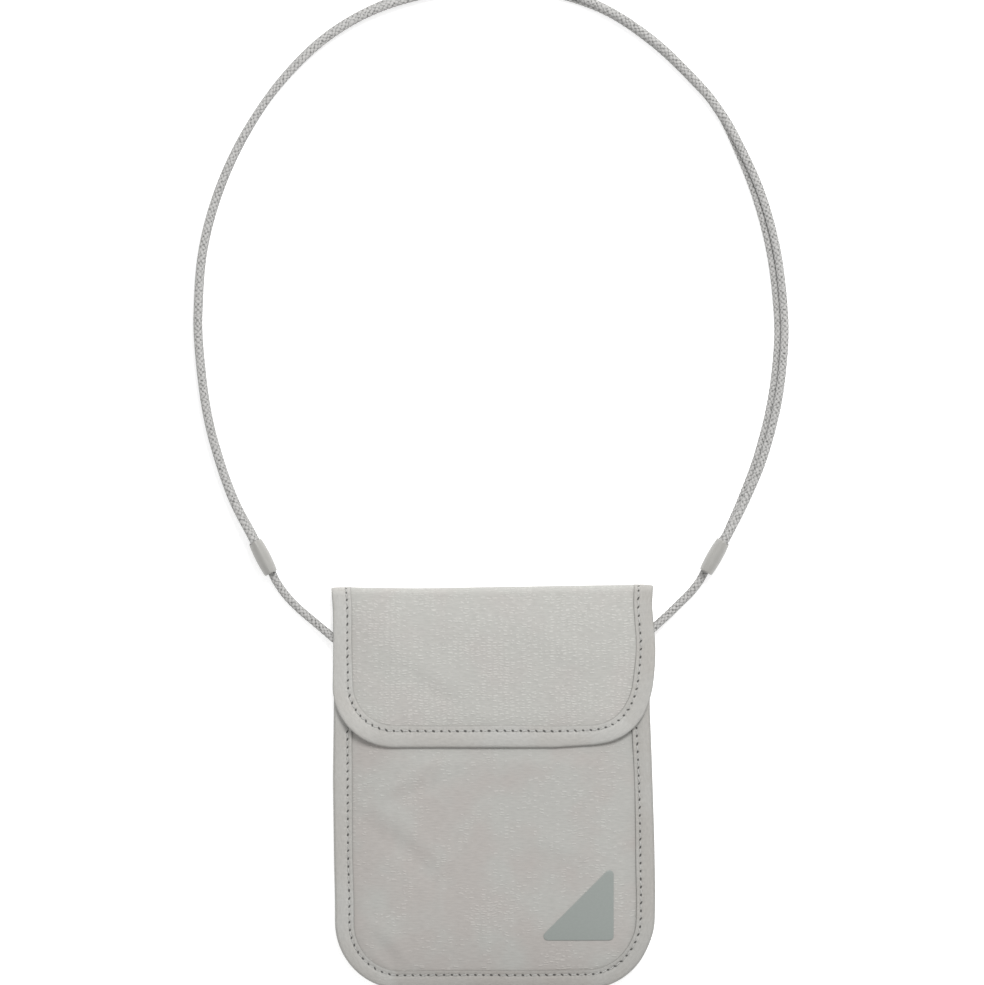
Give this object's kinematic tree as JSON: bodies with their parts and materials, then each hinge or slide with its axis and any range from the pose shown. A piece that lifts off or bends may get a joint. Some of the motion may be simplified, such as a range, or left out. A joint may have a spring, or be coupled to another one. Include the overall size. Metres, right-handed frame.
{
  "type": "neck pouch wallet",
  "caption": "Flat fabric pouch with a fold-over flap and bound edges, on a braided neck cord that adjusts with slider beads.",
  "frame": {"origin": "under the middle of the pouch, on the surface it lies on", "axes": "+X across the pouch, +Y from the pouch towards the neck cord, +Z out of the front"},
  "size_m": [0.2397, 0.4085, 0.0134],
  "materials": {
    "shell_fabric": "matte plain weave with slubs",
    "lining_fabric": "fine matte lining",
    "binding_fabric": "matte tape, sewn edge",
    "sewing_thread": "twisted polyester thread",
    "fastener_tape": "hook and loop",
    "badge_film": "satin transfer film",
    "braided_cord": "round braid",
    "bead_plastic": "satin moulded"
  },
  "bodies": {
    "pouch": {"back_panel": "shell_fabric", "back_lining": "lining_fabric", "card_pocket": "lining_fabric", "front_lining": "lining_fabric", "front_panel": "shell_fabric", "body_binding": "binding_fabric", "body_stitching": "sewing_thread", "loop_patch": "fastener_tape", "badge": "badge_film", "left_bartack": "sewing_thread", "right_bartack": "sewing_thread", "flap_fold": "shell_fabric", "left_cord": "braided_cord", "right_cord": "braided_cord"},
    "flap": {"hook_patch": "fastener_tape", "flap_shell": "shell_fabric", "flap_lining": "lining_fabric", "flap_binding": "binding_fabric", "flap_stitching": "sewing_thread"},
    "left_slider": {"left_bead": "bead_plastic"},
    "right_slider": {"right_bead": "bead_plastic"}
  },
  "joints": [
    {"name": "flap_hinge", "type": "hinge", "parent": "pouch", "child": "flap", "pos_m": [0, 0.077, 0.00675], "axis": [-1, 0, 0], "range_deg": [0, 175], "deforming": ["flap_fold"]},
    {"name": "left_bead_slide", "type": "slide", "parent": "pouch", "child": "left_slider", "axis": [-0.454, 0.891, 0], "range_m": [-0.004, 0.004], "deforming": ["left_cord"]},
    {"name": "right_bead_slide", "type": "slide", "parent": "pouch", "child": "right_slider", "axis": [0.4955, 0.8686, 0], "range_m": [-0.004, 0.004], "deforming": ["right_cord"]}
  ],
  "couplings": [
    {"joint": "right_bead_slide", "follows": "left_bead_slide", "ratio": 1}
  ]
}
